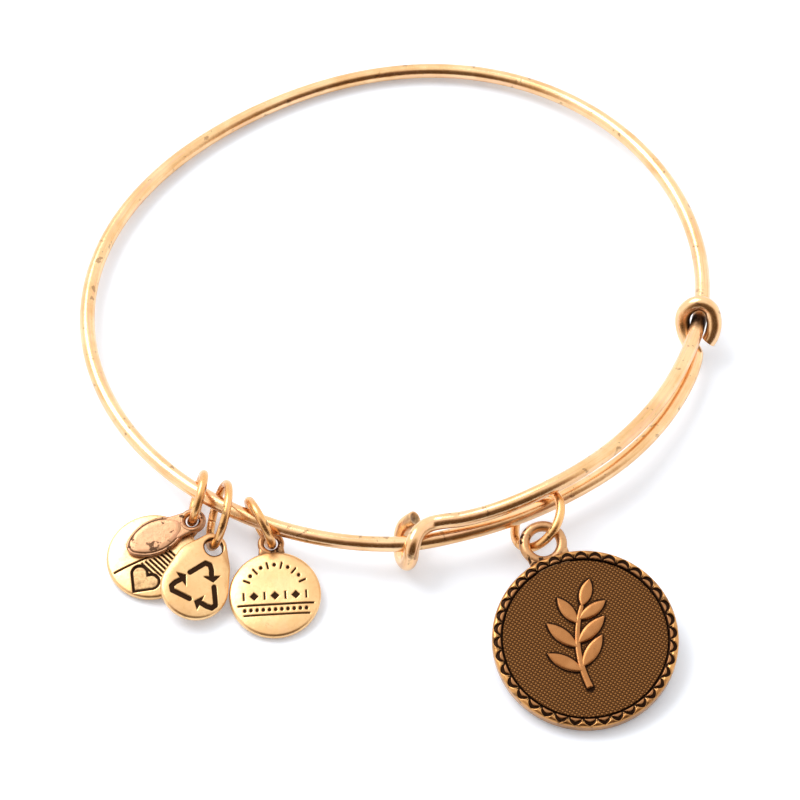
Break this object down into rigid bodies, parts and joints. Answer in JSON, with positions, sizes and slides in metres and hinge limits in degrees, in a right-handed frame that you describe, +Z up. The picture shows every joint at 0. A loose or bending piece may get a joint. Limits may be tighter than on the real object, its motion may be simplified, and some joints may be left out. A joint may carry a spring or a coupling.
{
  "type": "charm bangle bracelet",
  "caption": "Expandable wire bangle whose ends coil round its own runs, with a scalloped disc charm and small engraved tags on jump rings.",
  "frame": {"origin": "middle of the bounding box, on the surface it lies on", "axes": "+Z up, +Y from the charms to the far side of the loop, +X to the right of the picture"},
  "size_m": [0.0672, 0.0818, 0.0072],
  "materials": {
    "bangle_wire": "polished warm gold plate",
    "disc_ring": "antiqued warm gold plate",
    "round_tag_ring": "antiqued warm gold plate",
    "drop_tag_ring": "antiqued warm gold plate",
    "pair_ring": "antiqued warm gold plate",
    "disc_charm": "antiqued gold plate, dark in its recesses",
    "round_tag": "antiqued warm gold plate",
    "drop_tag": "antiqued warm gold plate",
    "heart_tag": "antiqued warm gold plate",
    "oval_tag": "antiqued warm gold plate"
  },
  "bodies": {
    "root": {"bangle_wire": "bangle_wire", "disc_ring": "disc_ring", "round_tag_ring": "round_tag_ring", "drop_tag_ring": "drop_tag_ring", "pair_ring": "pair_ring", "disc_charm": "disc_charm", "round_tag": "round_tag", "drop_tag": "drop_tag", "heart_tag": "heart_tag", "oval_tag": "oval_tag"}
  },
  "joints": []
}
